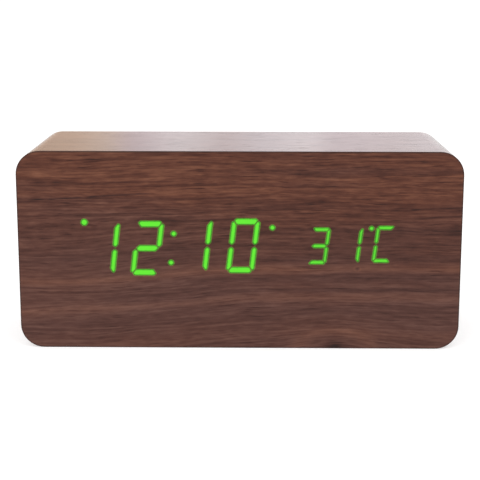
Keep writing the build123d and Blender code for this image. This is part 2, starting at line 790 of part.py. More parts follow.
def battery_springs():
    """One unbroken coil for each cell, between its contact plate and its flat end."""
    length = spring_room - 2 * spring_seat_gap - 2 * spring_wire
    pitch = length / spring_turns
    springs = []
    for i in range(cell_count):
        side = -nub_side(i)
        start_x = bay_x + side * (bay_width / 2 - contact_thickness - spring_seat_gap - spring_wire)
        coil = Helix(pitch, length, spring_radius)
        section = Plane(origin=coil @ 0, z_dir=coil % 0) * Circle(spring_wire)
        wire = sweep(section, path=coil)
        springs.append(Pos(start_x, cell_y, cell_z(i)) * Rot(0, -90 * side, 0) * wire)
    save("battery_springs", springs)


def contact_plate(side, low, high, lug_z=None):
    """Plate at one end of the bay, from cell low to cell high, with a lug if a lead is soldered to it."""
    wall = bay_x + side * bay_width / 2
    inner = wall - side * contact_thickness
    reach = cell_radius - contact_margin
    half = contact_height / 2
    x0, x1 = min(wall, inner), max(wall, inner)
    plate = brick(x0, x1, cell_y - half, cell_y + half, cell_z(low) - reach, cell_z(high) + reach)
    if lug_z is not None:
        y0, y1 = cell_y - half, cell_y - half + contact_thickness
        z0, z1 = lug_z - lug_width / 2, lug_z + lug_width / 2
        plate += brick(wall, lug_end_x, y0, y1, z0, z1)
    return plate


def battery_contacts():
    last = cell_count - 1
    save("positive_contact", contact_plate(1, 0, 0, lug_z=cell_z(0)))
    save("negative_contact", contact_plate(1, last, last, lug_z=cell_z(last)))
    links = [contact_plate(-1, i, i + 1) for i in range(0, last, 2)]
    links += [contact_plate(1, i, i + 1) for i in range(1, last, 2)]
    save("link_contacts", links)


# Keys


def key_mark(name, x):
    """Sunk mark on a key's end: a ring for set and arrows for up and down."""
    centre = Pos(x, key_centre_z)
    if name == "set":
        return centre * (Circle(mark_radius) - Circle(mark_radius - mark_line))
    turn = 0 if name == "up" else 180
    return centre * Rot(0, 0, turn) * RegularPolygon(mark_radius, 3, rotation=90)


def keys():
    for i, name in enumerate(key_names):
        x = key_place(i)
        cap = rod(x, key_centre_z, key_radius, flange_outer_y, key_outer_y)
        cap = fillet(cap.faces().sort_by(Axis.Y)[-1].edges(), key_end_round)
        cap += rod(x, key_centre_z, key_flange_radius, plunger_top_y, flange_outer_y)
        cap -= prism(key_mark(name, x), key_outer_y - mark_depth, key_outer_y)
        save(f"{name}_key", cap)
        stem_bottom = plunger_top_y - plunger_height - plunger_hidden
        save(f"{name}_plunger", rod(x, key_centre_z, plunger_radius, stem_bottom, plunger_top_y))
        square = Pos(x, key_centre_z) * RectangleRounded(switch_side, switch_side, switch_corner)
        body = prism(square, key_board_back_y, key_board_back_y + switch_height)
        well = plunger_hidden + key_travel + plunger_gap
        top = key_board_back_y + switch_height
        save(f"{name}_switch", body - rod(x, key_centre_z, plunger_radius + plunger_gap, top - well, top))


def key_board():
    width = 2 * key_pitch + 2 * key_board_margin
    sheet = Pos(key_x, key_centre_z) * Rectangle(width, key_board_height)
    board = prism(sheet, key_board_front_y, key_board_back_y)
    holes = [
        rod(x, z, key_screw_radius + thread_gap, key_board_front_y, key_board_back_y)
        for x, z in boss_places()
    ]
    save("key_board", board - holes)
    length = key_board_thickness + key_screw_bite - thread_gap
    sizes = (key_screw_radius, length, key_head_radius, key_head_height)
    save("key_board_screws", [pan_screw(x, z, key_board_front_y, -1, *sizes) for x, z in boss_places()])


# Power socket and wiring


def power_socket():
    x, z = socket_x, middle_z + socket_z
    square = Pos(x, z) * RectangleRounded(socket_side, socket_side, socket_corner)
    body = prism(square, socket_front_y, cover_outer_y)
    body -= rod(x, z, socket_bore_radius, cover_outer_y - socket_bore_depth, cover_outer_y)
    floor = cover_outer_y - socket_bore_depth
    body -= rod(x, z, socket_pin_radius + thread_gap, socket_front_y, floor)
    leaf_x = x + socket_leaf_x
    body -= rod(leaf_x, z, socket_leaf_radius + thread_gap, socket_front_y, floor)
    save("power_socket", body)
    pin = rod(x, z, socket_pin_radius, socket_front_y - socket_leg_length, cover_outer_y - socket_pin_setback)
    save("socket_pin", fillet(pin.faces().sort_by(Axis.Y)[-1].edges(), socket_pin_round))
    save("socket_leaf", rod(leaf_x, z, socket_leaf_radius, socket_front_y - socket_leg_length, floor))


def board_headers():
    blocks = []
    places = (
        (battery_header_x, battery_header_z),
        (power_header_x, power_header_z),
        (key_header_x, key_header_z),
    )
    for x, z in places:
        outline = Pos(x, middle_z + z) * Rectangle(header_width, header_height)
        blocks.append(on_board(outline, header_depth))
    save("board_headers", blocks)


def wire(points):
    """Round lead along straight runs joined by arcs."""
    path = FilletPolyline(*points, radius=wire_bend)
    section = Plane(origin=path @ 0, z_dir=path % 0) * Circle(wire_radius)
    return sweep(section, path=path)


def header_back():
    return circuit_back_y + header_depth


def battery_leads():
    """Two leads from the lugs of the bay's end contacts down to the battery header."""
    solder_y = cell_y - contact_height / 2 - wire_radius
    for name, index, side in (("battery_lead_red", 0, -1), ("battery_lead_black", cell_count - 1, 1)):
        z = cell_z(index)
        goal_x = battery_header_x
        goal_z = middle_z + battery_header_z + side * wire_spacing / 2
        route = [
            (lug_end_x - lug_reach / 2, solder_y, z),
            (goal_x, solder_y, z),
            (goal_x, header_back() + 2 * wire_bend, goal_z),
            (goal_x, header_back(), goal_z),
        ]
        save(name, wire(route))


def power_leads():
    start_y = socket_front_y - socket_leg_length
    z = middle_z + socket_z
    for name, x, side in (("power_lead_red", 0, -1), ("power_lead_black", socket_leaf_x, 1)):
        goal_x = power_header_x + side * wire_spacing / 2
        goal_z = middle_z + power_header_z
        route = [
            (socket_x + x, start_y, z),
            (socket_x + x, start_y - 2 * wire_bend, z),
            (goal_x, header_back() + 2 * wire_bend, goal_z),
            (goal_x, header_back(), goal_z),
        ]
        save(name, wire(route))


def key_ribbon():
    """Flat cable from the key board to its header on the main board."""
    x = key_header_x
    start_z = key_centre_z - key_board_height / 2 + ribbon_margin
    goal_z = middle_z + key_header_z
    lead = (key_board_front_y - header_back() - ribbon_slant) / 2
    route = [
        (x, key_board_front_y, start_z),
        (x, key_board_front_y - lead, start_z),
        (x, header_back() + lead, goal_z),
        (x, header_back(), goal_z),
    ]
    path = FilletPolyline(*route, radius=ribbon_bend)
    start = Plane(origin=path @ 0, x_dir=(1, 0, 0), z_dir=path % 0)
    save("key_ribbon", sweep(start * Rectangle(ribbon_width, ribbon_thickness), path=path))


def main():
    os.makedirs("parts", exist_ok=True)
    front_veneer()
    lit_lenses()
    front_board()
    segment_reflector()
    light_gasket()
    segment_diodes()
    case_frame()
    wrap_sheet()
    main_board()
    board_fixings()
    controller_chip()
    clock_crystal()
    buzzer()
    sound_sensor()
    backup_cell()
    chip_resistors()
    temperature_sensor()
    rear_cover()
    cover_screws()
    battery_door()
    battery_cells()
    battery_springs()
    battery_contacts()
    keys()
    key_board()
    power_socket()
    board_headers()
    battery_leads()
    power_leads()
    key_ribbon()


main()
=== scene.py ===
import bpy
import math
from mathutils import Matrix, Vector


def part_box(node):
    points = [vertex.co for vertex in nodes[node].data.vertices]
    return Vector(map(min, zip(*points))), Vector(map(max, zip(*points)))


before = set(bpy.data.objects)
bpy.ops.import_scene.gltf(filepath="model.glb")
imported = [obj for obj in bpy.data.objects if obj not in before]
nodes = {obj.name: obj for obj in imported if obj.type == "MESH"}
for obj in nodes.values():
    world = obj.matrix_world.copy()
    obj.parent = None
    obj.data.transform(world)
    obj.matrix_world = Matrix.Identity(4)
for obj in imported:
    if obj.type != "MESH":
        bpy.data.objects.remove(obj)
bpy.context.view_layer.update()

X, Y, Z = 0, 1, 2
MM = 1000.0  # millimetres in a metre

# The case in millimetres: half its width and height, the place where the foil round its sides
# meets the face sheet, and the radius of its corners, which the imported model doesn't state
case_low, case_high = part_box("wrap_veneer")
HALF_WIDTH = (case_high[X] - case_low[X]) * MM / 2
HALF_HEIGHT = (case_high[Z] - case_low[Z]) * MM / 2
JOINT_Y = case_low[Y] * MM
CORNER = 8.0


# Colours


def linear(r, g, b):
    """Colour as the screen shows it, 0 to 255, turned into light."""
    out = []
    for value in (r, g, b):
        value /= 255
        out.append(value / 12.92 if value <= 0.04045 else ((value + 0.055) / 1.055) ** 2.4)
    return (*out, 1.0)


def grey(level):
    """Neutral colour, as light."""
    return (level, level, level, 1.0)


def scaled(colour, factor, lift=0.0):
    """A lighter or darker colour of the same hue, and no channel of it over 1."""
    return (*[min(1.0, value * factor + lift) for value in colour[:3]], 1.0)


# A mix node's sockets for its factor and for its two inputs and result, as numbers or as colours
MIX_NUMBERS, NUMBER_RESULT = (0, 2, 3), 0
MIX_COLOURS, COLOUR_RESULT = (0, 6, 7), 2


class Graph:
    """Short calls that add nodes to one material or world. Lengths are in millimetres."""

    def __init__(self, owner):
        owner.use_nodes = True
        self.owner = owner
        self.tree = owner.node_tree
        self.tree.nodes.clear()

    def node(self, kind, inputs=None, **settings):
        made = self.tree.nodes.new(kind)
        for key, value in settings.items():
            setattr(made, key, value)
        for key, value in (inputs or {}).items():
            self.feed(made.inputs[key], value)
        return made

    def feed(self, socket, value):
        """Links another node's output to the socket, or sets the socket's own value."""
        if isinstance(value, bpy.types.NodeSocket):
            self.tree.links.new(value, socket)
        elif value is not None:
            socket.default_value = value

    # Numbers

    def math(self, operation, a, b=None, c=None, clamp=False):
        made = self.node("ShaderNodeMath", operation=operation, use_clamp=clamp)
        for socket, value in zip(made.inputs, (a, b, c)):
            self.feed(socket, value)
        return made.outputs[0]

    def add(self, a, b):
        return self.math("ADD", a, b)

    def sub(self, a, b):
        return self.math("SUBTRACT", a, b)

    def mul(self, a, b):
        return self.math("MULTIPLY", a, b)

    def div(self, a, b):
        return self.math("DIVIDE", a, b)

    def absolute(self, a):
        return self.math("ABSOLUTE", a)

    def lesser(self, a, b):
        return self.math("MINIMUM", a, b)

    def greater(self, a, b):
        return self.math("MAXIMUM", a, b)

    def fused(self, a, b, c):
        """a times b, plus c."""
        return self.math("MULTIPLY_ADD", a, b, c)

    def distance(self, a, b):
        """Length of the line whose runs along two axes are a and b."""
        return self.math("SQRT", self.fused(a, a, self.mul(b, b)))

    def step(self, value, low, high):
        """Smooth rise from 0 at low to 1 at high. It falls where low is the larger of the two."""
        made = self.node("ShaderNodeMapRange", interpolation_type="SMOOTHSTEP")
        for key, given in (("Value", value), ("From Min", low), ("From Max", high)):
            self.feed(made.inputs[key], given)
        return made.outputs["Result"]

    def hump(self, value, centre, width):
        """Smooth hump of height 1, down to about a third at its width from the centre."""
        offset = self.div(self.sub(value, centre), width)
        return self.math("EXPONENT", self.mul(self.mul(offset, offset), -1.0))

    def centred(self, value, gain):
        """Noise moved to lie about zero, and made stronger or weaker."""
        return self.fused(value, gain, -0.5 * gain)

    def blend(self, factor, a, b):
        """Number that goes from a to b as the factor goes from 0 to 1."""
        inputs = dict(zip(MIX_NUMBERS, (factor, a, b)))
        return self.node("ShaderNodeMix", inputs, data_type="FLOAT").outputs[NUMBER_RESULT]

    # Places and directions

    def vector(self, x, y, z=0.0):
        return self.node("ShaderNodeCombineXYZ", {"X": x, "Y": y, "Z": z}).outputs[0]

    def parts(self, vector):
        made = self.node("ShaderNodeSeparateXYZ", {"Vector": vector})
        return made.outputs[X], made.outputs[Y], made.outputs[Z]

    def place(self):
        """Object coordinates in millimetres."""
        point = self.node("ShaderNodeTexCoord").outputs["Object"]
        made = self.node("ShaderNodeVectorMath", operation="SCALE")
        self.feed(made.inputs[0], point)
        made.inputs["Scale"].default_value = MM
        return made.outputs[0]

    def stretched(self, place, scales):
        """The place with each of its three parts times its own scale."""
        return self.vector(*[self.mul(part, scale) for part, scale in zip(self.parts(place), scales)])

    def facing(self):
        """The surface's own direction, before any bump, in the object's axes."""
        normal = self.node("ShaderNodeNewGeometry").outputs["True Normal"]
        made = self.node("ShaderNodeVectorTransform", vector_type="NORMAL")
        made.convert_from = "WORLD"
        made.convert_to = "OBJECT"
        self.feed(made.inputs[0], normal)
        return made.outputs[0]

    def squareness(self, axis):
        """From 0 on a surface along the axis to 1 on one square to it, whichever way it faces."""
        return self.absolute(self.parts(self.facing())[axis])

    # Patterns and colours

    def noise(self, vector, scale=1.0, detail=2.0, rough=0.5, distortion=0.0):
        made = self.node("ShaderNodeTexNoise")
        values = (("Vector", vector), ("Scale", scale), ("Detail", detail))
        for key, given in values + (("Roughness", rough), ("Distortion", distortion)):
            self.feed(made.inputs[key], given)
        return made.outputs["Fac"]

    def streaky(self, along, across, length, width, seed, detail=2.0, distortion=0.0):
        """Noise in flat patches of about the length and width."""
        spot = self.vector(self.mul(along, 1 / length), self.mul(across, 1 / width), seed)
        return self.noise(spot, 1.0, detail, 0.5, distortion)

    def cells(self, vector, scale, randomness=1.0, metric="EUCLIDEAN"):
        """Distance to the middle of the nearest cell of an irregular pattern."""
        inputs = {"Vector": vector, "Scale": scale, "Randomness": randomness}
        made = self.node("ShaderNodeTexVoronoi", inputs, distance=metric)
        return made.outputs["Distance"]

    def mix(self, factor, a, b, mode="MIX"):
        """Colour that goes from a to b, or to another mode's result, as the factor goes to 1."""
        inputs = dict(zip(MIX_COLOURS, (factor, a, b)))
        made = self.node("ShaderNodeMix", inputs, data_type="RGBA", blend_type=mode)
        return made.outputs[COLOUR_RESULT]

    def ramp(self, value, stops):
        """Colour from stops, each a place and a colour, and straight between them."""
        made = self.node("ShaderNodeValToRGB", {"Fac": value})
        elements = made.color_ramp.elements
        while len(elements) < len(stops):
            elements.new(0.5)
        for element, (at, colour) in zip(elements, stops):
            element.position = at
            element.color = colour
        return made.outputs[0]

    # Relief and edges

    def bump(self, height, strength, distance_mm, normal=None):
        made = self.node("ShaderNodeBump")
        made.inputs["Strength"].default_value = strength
        made.inputs["Distance"].default_value = distance_mm / MM
        self.feed(made.inputs["Height"], height)
        if normal is not None:
            self.feed(made.inputs["Normal"], normal)
        return made.outputs["Normal"]

    def soft_edge(self, radius_mm, samples=4):
        """The surface's direction with its edges rounded off."""
        made = self.node("ShaderNodeBevel", samples=samples)
        made.inputs["Radius"].default_value = radius_mm / MM
        return made.outputs["Normal"]

    def edge_share(self, eased, full_turn):
        """From 0 on flat ground to 1 at an edge, by the cosine of the turn between the surface
        and its eased direction."""
        slight_turn = 0.995
        plain = self.node("ShaderNodeNewGeometry").outputs["Normal"]
        dot = self.node("ShaderNodeVectorMath", {0: eased, 1: plain}, operation="DOT_PRODUCT")
        return self.step(dot.outputs["Value"], slight_turn, full_turn)

    def near_edge(self, radius_mm):
        """From 0 on flat ground to 1 at a sharp edge of the same piece."""
        return self.edge_share(self.soft_edge(radius_mm, samples=8), full_turn=0.78)

    def surface(self, colour, roughness, normal=None, **settings):
        """Ends the material with one shader. The settings are its sockets by name, with _ for a
        space."""
        shader = self.node("ShaderNodeBsdfPrincipled", {"Base Color": colour, "Roughness": roughness})
        if normal is not None:
            self.feed(shader.inputs["Normal"], normal)
        for key, value in settings.items():
            self.feed(shader.inputs[key.replace("_", " ")], value)
        self.end("ShaderNodeOutputMaterial", shader)
        return self.owner

    def end(self, kind, shader):
        """Makes the shader the one that the material or world shows."""
        self.tree.links.new(shader.outputs[0], self.node(kind).inputs["Surface"])


def new_graph(name):
    return Graph(bpy.data.materials.new(name))


# Wood-grain foil

# Fine figure in layers: length and width of the patches, seed, detail and strength
FIGURE = (
    (40, 1.9, 0.0, 3.0, 1.8),
    (17, 0.85, 5.0, 3.0, 3.4),
    (5, 1.3, 7.0, 2.0, 2.0),
    (3, 0.45, 9.0, 1.0, 0.9),
)
# Browns from the darkest tone, -2, to the lightest, 2, and the tints of cool and warm places
BROWNS = ((34, 12, 6), (57, 25, 15), (79, 43, 31), (99, 61, 46), (119, 79, 62))
COOL = (0.91, 1.07, 1.36, 1.0)
WARM = (1.07, 1.0, 0.88, 1.0)

# Light and dark streaks of the face: height at the right, half width, strength and side
STREAKS = (
    (4.5, 1.8, 0.2, "all"),
    (12.3, 2.2, -0.22, "all"),
    (17.8, 1.5, 0.5, "all"),
    (20.4, 0.7, -0.45, "right"),
    (22.5, 1.8, -0.15, "left"),
    (24.9, 1.2, -0.45, "right"),
    (28.0, 1.3, 0.65, "all"),
    (31.9, 1.4, -0.35, "right"),
    (36.5, 1.6, -0.2, "all"),
    (41.4, 1.5, -0.4, "right"),
    (49.9, 1.3, -0.35, "right"),
    (53.2, 0.8, -0.25, "left"),
    (55.5, 1.2, 0.35, "all"),
    (59.2, 1.0, -0.2, "left"),
    (58.9, 1.1, 0.4, "right"),
    (62.8, 1.2, 0.4, "left"),
    (61.8, 1.1, -0.4, "right"),
)
# Knots of the face: place across and up, half width and half height, strength of the pale ring
# and of the dark eye, and the eye's share of the knot
KNOTS = (
    (32.6, 0.6, 12.5, 5.4, 0.6, -1.9, 0.22),
    (40.0, 28.3, 1.1, 0.8, 0.35, -0.9, 0.55),
)


def grain(g, along, across, bands, warmth, vigour):
    """Adds fine figure to the broad bands. Returns the colour, the tone and the pores."""
    figure = 0.0
    for length, width, seed, detail, gain in FIGURE:
        layer = g.streaky(along, across, length, width, seed, detail, distortion=0.25)
        figure = g.add(figure, g.centred(layer, gain))
    dashes = g.streaky(along, across, 9, 0.45, seed=21.0, detail=1.0)
    crowding = g.streaky(along, across, 16, 4.5, seed=33.0)
    pore_start, pore_full, pore_depth = 0.62, 0.72, 1.1
    pores = g.step(g.add(dashes, g.centred(crowding, 0.4)), pore_start, pore_full)
    tone = g.fused(g.fused(pores, -pore_depth, figure), vigour, bands)
    stops = [(index / (len(BROWNS) - 1), linear(*brown)) for index, brown in enumerate(BROWNS)]
    colour = g.ramp(g.fused(tone, 1 / 4, 0.5), stops)
    # Pale bands are warmer than dark ones, and broad patches drift from cool to warm
    drift = g.streaky(along, across, 45, 11, seed=50.0)
    warm = g.add(warmth, g.centred(drift, 0.9))
    warm = g.math("MULTIPLY_ADD", bands, 0.5, warm, clamp=True)
    return g.mix(1.0, colour, g.mix(warm, COOL, WARM), "MULTIPLY"), tone, pores


def outline(g, x, z):
    """The way along the case's round outline from the middle of the top, how far inside the
    outline a point lies, and whether it is on the underside."""
    flat_x, flat_z = HALF_WIDTH - CORNER, HALF_HEIGHT - CORNER
    side_x = g.absolute(x)
    rise = g.sub(z, HALF_HEIGHT)
    core_x = g.lesser(side_x, flat_x)
    core_z = g.greater(g.lesser(rise, flat_z), -flat_z)
    out_x = g.sub(side_x, core_x)
    out_z = g.sub(rise, core_z)
    turn = g.math("ARCTAN2", out_x, out_z)
    under = g.math("GREATER_THAN", turn, math.radians(135))
    flat = g.blend(under, core_x, g.sub(2 * flat_x, core_x))
    run = g.add(g.fused(turn, CORNER, g.sub(flat_z, core_z)), flat)
    sunk = g.sub(CORNER, g.distance(out_x, out_z))
    return g.mul(run, g.math("SIGN", x)), sunk, under


def face_level(g, x, z, left):
    """The height that a point of the face would have in straight grain. This grain drops to the
    left, more in the lower half, rises over a knot at the lower edge, and waves a little."""
    low_drop, high_drop = 5.2, 1.5
    level = g.fused(left, g.blend(g.step(z, 30.0, 50.0), low_drop, high_drop), z)
    knot_x, arch_width, arch_rise, arch_fade = 33.0, 15.0, 4.6, 9.0
    arch = g.mul(g.hump(x, knot_x, arch_width), g.math("EXPONENT", g.mul(z, -1 / arch_fade)))
    level = g.fused(arch, -arch_rise, level)
    level = g.add(level, g.centred(g.streaky(x, z, 38, 16, seed=2.0), 2.2))
    return g.add(level, g.centred(g.streaky(x, z, 13, 6, seed=3.0), 0.7))


def face_bands(g, x, z, level, left):
    """Broad tones of the face: slow changes, streaks, a vein and knots."""
    # Paler to the left and downwards, with a darker belt across the middle
    left_lift, low_lift = 0.1, 0.12
    bands = g.fused(g.step(z, 60.0, 10.0), low_lift, g.mul(left, left_lift))
    belt_z, belt_width, belt_depth = 41.0, 12.0, 0.25
    bands = g.fused(g.hump(z, belt_z, belt_width), -belt_depth, bands)
    right = g.step(x, -32.0, 24.0)
    sides = {"all": 1.0, "right": right, "left": g.sub(1.0, right)}
    for height, half, strength, side in STREAKS:
        streak = g.mul(g.hump(level, height, half), sides[side])
        bands = g.fused(streak, strength, bands)
    # A thin dark broken vein, which rises a little to the right
    vein_z, vein_rise, vein_half, vein_depth = 51.9, 2.5, 0.25, 1.2
    vein_level = g.fused(g.step(x, -74.0, -20.0), vein_rise, vein_z)
    vein_span = g.mul(g.step(x, -73.0, -66.0), g.step(x, -26.0, -34.0))
    whole = g.step(g.noise(g.vector(g.mul(x, 1 / 7), 4.0), 1.0, 1.0), 0.3, 0.5)
    vein = g.mul(g.hump(z, vein_level, vein_half), vein_span)
    bands = g.fused(g.mul(vein, whole), -vein_depth, bands)
    for knot_x, knot_z, wide, high, ring, dark, eye in KNOTS:
        across = g.div(g.sub(x, knot_x), wide)
        up = g.div(g.sub(z, knot_z), high)
        reach = g.distance(across, up)
        bands = g.fused(g.hump(reach, 1.0, 0.28), ring, bands)
        bands = g.fused(g.hump(reach, 0.0, eye), dark, bands)
    return bands


# Colour of the light that the bars give
GREEN = (0.112, 0.765, 0.0175, 1.0)


def front_foil():
    """Foil of the face, with painted glow round the display's openings."""
    g = new_graph("foil_front")
    x, _, z = g.parts(g.place())
    left = g.step(x, 12.0, -68.0)
    level = face_level(g, x, z, left)
    bands = face_bands(g, x, z, level, left)
    # Warmer upwards and to the right, and livelier in the upper half
    right_lift = 9.0
    warmth = g.step(g.fused(g.step(x, -50.0, 20.0), right_lift, z), 20.0, 68.0)
    vigour = g.blend(g.step(z, 24.0, 56.0), 0.7, 1.08)
    colour, tone, pores = grain(g, x, level, bands, warmth, vigour)
    # The sheet darkens towards its outline, and its cut edge and eased arris are bare and dull
    sunk = outline(g, x, z)[1]
    rim = g.step(sunk, 0.7, 0.25)
    rim_brown, edge_brown = linear(34, 18, 14), linear(52, 30, 23)
    colour = g.mix(g.mul(rim, 0.4), colour, rim_brown)
    edge = g.step(g.squareness(Y), 0.985, 0.8)
    colour = g.mix(edge, colour, edge_brown)
    rough = g.fused(edge, 0.3, g.fused(tone, -0.03, 0.33))
    normal = g.bump(g.fused(pores, -1.0, g.mul(tone, 0.3)), 0.25, 0.03)
    # Painted glow: the sheet itself gives the bars' green light a little way round each opening, and
    # nowhere off the display
    display_half_width, display_half_height, fade = 62.0, 20.0, 4.0
    from_middle = g.absolute(g.sub(z, HALF_HEIGHT))
    display = g.mul(
        g.step(g.absolute(x), display_half_width + fade, display_half_width),
        g.step(from_middle, display_half_height + fade, display_half_height),
    )
    glow_reach, glow_strength = 0.8, 0.5
    near = g.near_edge(glow_reach)
    painted_glow = g.mul(g.mul(near, near), display)
    painted_glow = g.mul(painted_glow, g.mul(g.sub(1.0, edge), glow_strength))
    return g.surface(colour, rough, normal, IOR=1.3, Emission_Color=GREEN, Emission_Strength=painted_glow)


def wrap_foil():
    """Foil of the four sides and the rear rim, with its grain running round the case."""
    g = new_graph("foil_wrap")
    x, y, z = g.parts(g.place())
    along, sunk, under = outline(g, x, z)
    across = g.add(y, sunk)
    waves = g.streaky(along, across, 42, 16, seed=60.0)
    level = g.add(across, g.centred(waves, 3.0))
    bands = g.centred(g.streaky(along, level, 90, 4.2, seed=64.0), 1.9)
    colour, tone, pores = grain(g, along, level, bands, warmth=0.55, vigour=0.95)
    # The joint with the face sheet, the foil's cut edge round the rear opening, and the line
    # where its two ends meet under the case
    joint = g.mul(g.step(y, JOINT_Y + 0.16, JOINT_Y + 0.04), 0.5)
    rim_width = 5.4
    cut_edge = g.step(sunk, rim_width - 0.25, rim_width - 0.05)
    seam = g.mul(under, g.hump(x, 0.0, 0.12))
    lines = g.greater(g.greater(joint, cut_edge), seam)
    line_brown = linear(34, 20, 18)
    colour = g.mix(g.mul(lines, 0.75), colour, line_brown)
    rough = g.fused(pores, 0.08, g.fused(tone, -0.02, 0.17))
    normal = g.bump(g.fused(pores, -0.2, g.mul(tone, 0.6)), 0.5, 0.04)
    return g.surface(colour, rough, normal, IOR=1.45)


# Boards, plastics and metals


def fibreboard(name, cloud_scale):
    """Pressed fibres with flat flecks and broad clouds."""
    g = new_graph(name)
    place = g.place()
    fibres = g.noise(place, 1.6, 5.0, 0.7, 0.6)
    flecks = g.noise(g.stretched(place, (0.9, 3.5, 0.9)), 1.0, 3.0)
    clouds = g.noise(place, cloud_scale, 2.0)
    shade = g.add(g.add(g.centred(fibres, 0.9), g.centred(flecks, 0.6)), g.centred(clouds, 0.5))
    browns = [
        (0.0, linear(112, 82, 54)),
        (0.45, linear(160, 124, 86)),
        (1.0, linear(196, 162, 120)),
    ]
    colour = g.ramp(g.fused(shade, 0.5, 0.5), browns)
    normal = g.bump(g.add(fibres, flecks), 0.5, 0.12, g.soft_edge(0.15))
    return g.surface(colour, g.fused(fibres, 0.15, 0.78), normal, IOR=1.4)


def moulded(name, colour, texture_mm=0.32, depth=0.35, roughness=0.5, edge_mm=0.22, tint=1.0):
    """Moulded plastic: a fine eroded grain, eased edges that catch light, and faint rub marks."""
    g = new_graph(name)
    place = g.place()
    pits = g.noise(place, 1 / texture_mm, 3.0, 0.62)
    clouds = g.noise(place, 0.055, 3.0, 0.55)
    rub = g.noise(g.stretched(place, (0.5, 0.5, 3.0)), 1.0, 3.0)
    eased = g.soft_edge(edge_mm)
    edge = g.edge_share(eased, full_turn=0.86)
    dark = scaled(colour, 0.8 * tint)
    pale = scaled(colour, 1.25 * tint, lift=0.002)
    worn = scaled(colour, 1.7 * tint, lift=0.012)
    shade = g.mix(g.math("ADD", g.centred(clouds, 1.2), 0.5, clamp=True), dark, pale)
    shade = g.mix(g.mul(edge, 0.6), shade, worn)
    rough = g.add(g.fused(clouds, 0.16, roughness - 0.08), g.centred(rub, 0.12))
    rough = g.fused(edge, -0.08, rough)
    return g.surface(shade, rough, g.bump(pits, depth, 0.05, eased), IOR=1.5)


def key_cap(name):
    """Smooth black key with white paint in its sunk mark."""
    g = new_graph(name)
    place = g.place()
    y = g.parts(place)[Y]
    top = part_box(name)[1][Y] * MM
    # The mark's floor lies 0.2 mm under the key's top
    floor_low, floor_high = top - 0.23, top - 0.16
    floor = g.mul(g.step(y, floor_low - 0.03, floor_low), g.step(y, floor_high + 0.04, floor_high))
    towards_back = g.parts(g.facing())[Y]
    paint = g.mul(floor, g.step(towards_back, 0.9, 0.97))
    pits = g.noise(place, 4.0, 3.0, 0.6)
    smears = g.noise(place, 0.35, 3.0, 0.6)
    share = g.math("ADD", g.centred(smears, 1.4), 0.5, clamp=True)
    colour = g.mix(share, linear(34, 34, 36), linear(50, 50, 53))
    white_paint = linear(214, 214, 208)
    colour = g.mix(paint, colour, white_paint)
    rough = g.fused(smears, 0.2, 0.3)
    return g.surface(colour, rough, g.bump(pits, 0.12, 0.03, g.soft_edge(0.12)), IOR=1.5)


def lit_lens(name, level):
    """Clear resin lit from behind, brightest along its middle and dim on its sides."""
    g = new_graph(name)
    place = g.place()
    glow = g.noise(place, 0.35, 2.0)
    front = g.step(g.squareness(Y), 0.6, 0.97)
    strength = g.fused(g.centred(glow, 0.12), 1.0, level)
    strength = g.mul(strength, g.fused(front, 0.7, 0.3))
    rim_reach, rim_loss = 1.1, 0.9
    strength = g.mul(strength, g.fused(g.near_edge(rim_reach), -rim_loss, 1.0))
    rough = g.fused(g.noise(place, 2.5, 2.0), 0.15, 0.3)
    resin = linear(20, 66, 14)
    return g.surface(resin, rough, IOR=1.33, Emission_Color=GREEN, Emission_Strength=strength)


def metal(name, colour, roughness=0.3, axis=X, edge_mm=0.08, stain=0.25):
    """Plated or bare metal with fine drawing lines along one axis and slight tarnish."""
    g = new_graph(name)
    place = g.place()
    scales = [4.0, 4.0, 4.0]
    scales[axis] = 0.25
    lines = g.noise(g.stretched(place, scales), 1.0, 3.0, 0.6)
    tarnish = g.noise(place, 0.3, 4.0, 0.65)
    pale = scaled(colour, 1.05)
    dull = scaled(colour, 1 - stain)
    shade = g.mix(g.step(tarnish, 0.42, 0.68), pale, dull)
    rough = g.add(g.fused(tarnish, 0.2, roughness - 0.1), g.centred(lines, 0.14))
    normal = g.bump(lines, 0.15, 0.02, g.soft_edge(edge_mm))
    return g.surface(shade, rough, normal, Metallic=1.0)


def insulation(name, colour, pitch_mm=0.0):
    """Wire insulation, with ribs, painted shade in their valleys, and a marked first conductor where
    it is a ribbon.
    """
    g = new_graph(name)
    place = g.place()
    x = g.parts(place)[X]
    smears = g.noise(place, 0.5, 3.0, 0.6)
    dark = scaled(colour, 0.72)
    pale = scaled(colour, 1.18, lift=0.004)
    shade = g.mix(g.step(smears, 0.3, 0.7), dark, pale)
    height = g.mul(g.noise(place, 3.0, 2.0), 0.3)
    if pitch_mm:
        from_first = g.sub(x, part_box(name)[0][X] * MM)
        wave = g.math("SINE", g.mul(from_first, 2 * math.pi / pitch_mm))
        height = g.add(height, wave)
        # The valleys between the ribs are darkened in colour: painted shade
        valley_shade = g.step(wave, -0.3, -0.95)
        shade = g.mix(g.mul(valley_shade, 0.5), shade, grey(0.05))
        first = g.step(from_first, pitch_mm * 0.95, pitch_mm * 0.8)
        red_mark = linear(160, 40, 34)
        shade = g.mix(first, shade, red_mark)
    return g.surface(shade, g.fused(smears, 0.2, 0.36), g.bump(height, 0.3, 0.08), IOR=1.45)


